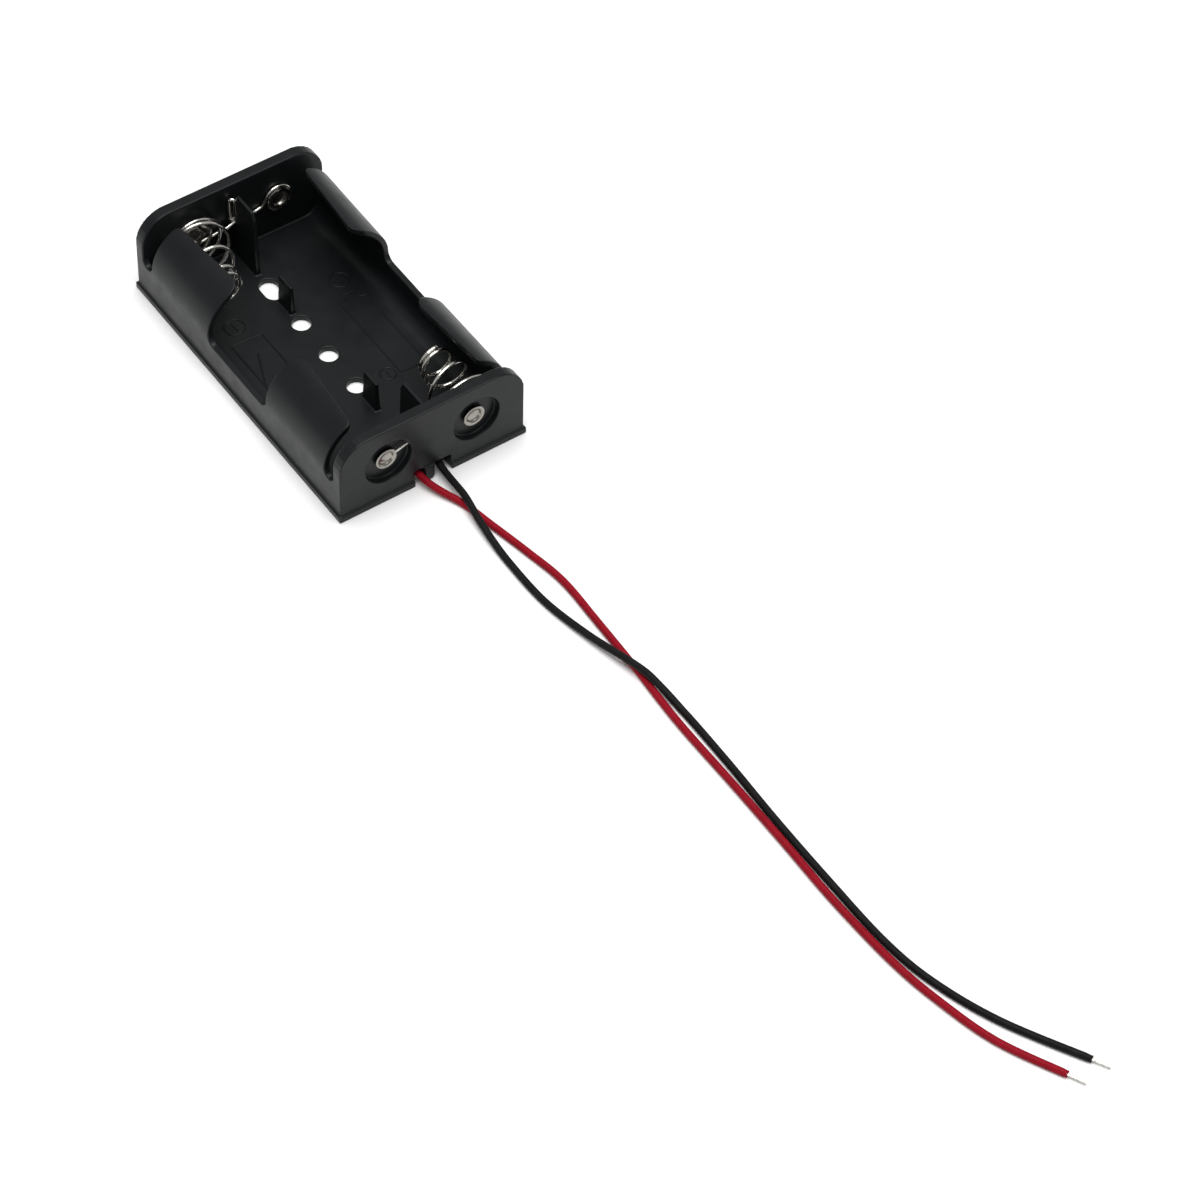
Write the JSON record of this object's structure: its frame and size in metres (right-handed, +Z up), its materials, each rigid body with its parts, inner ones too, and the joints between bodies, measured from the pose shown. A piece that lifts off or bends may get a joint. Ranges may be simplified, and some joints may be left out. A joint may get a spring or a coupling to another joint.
{
  "type": "cylindrical cell holder",
  "caption": "Open-topped moulded holder for AA cells lying side by side, with clips over the cells, conical wire springs, hollow rivets, screw holes in the floor and flying leads.",
  "frame": {"origin": "centre of the holder's underside", "axes": "+X along the cells towards the end where the leads come out, +Y across the cells towards the cell whose spring is at that end, +Z up"},
  "size_m": [0.1942, 0.0335, 0.0146],
  "materials": {
    "black_plastic": "moulded black plastic, satin",
    "spring_wire": "nickel-plated spring wire",
    "rivet_metal": "nickel-plated hollow rivet",
    "red_insulation": "red extruded insulation",
    "black_insulation": "black extruded insulation",
    "tinned_strands": "tinned twisted copper strands"
  },
  "bodies": {
    "root": {"housing": "black_plastic", "link_spring": "spring_wire", "near_spring": "spring_wire", "far_minus_rivet": "rivet_metal", "far_plus_rivet": "rivet_metal", "near_minus_rivet": "rivet_metal", "near_plus_rivet": "rivet_metal", "red_lead": "red_insulation", "red_tip": "tinned_strands", "red_strands": "tinned_strands", "black_lead": "black_insulation", "black_tip": "tinned_strands", "black_strands": "tinned_strands"}
  },
  "joints": []
}
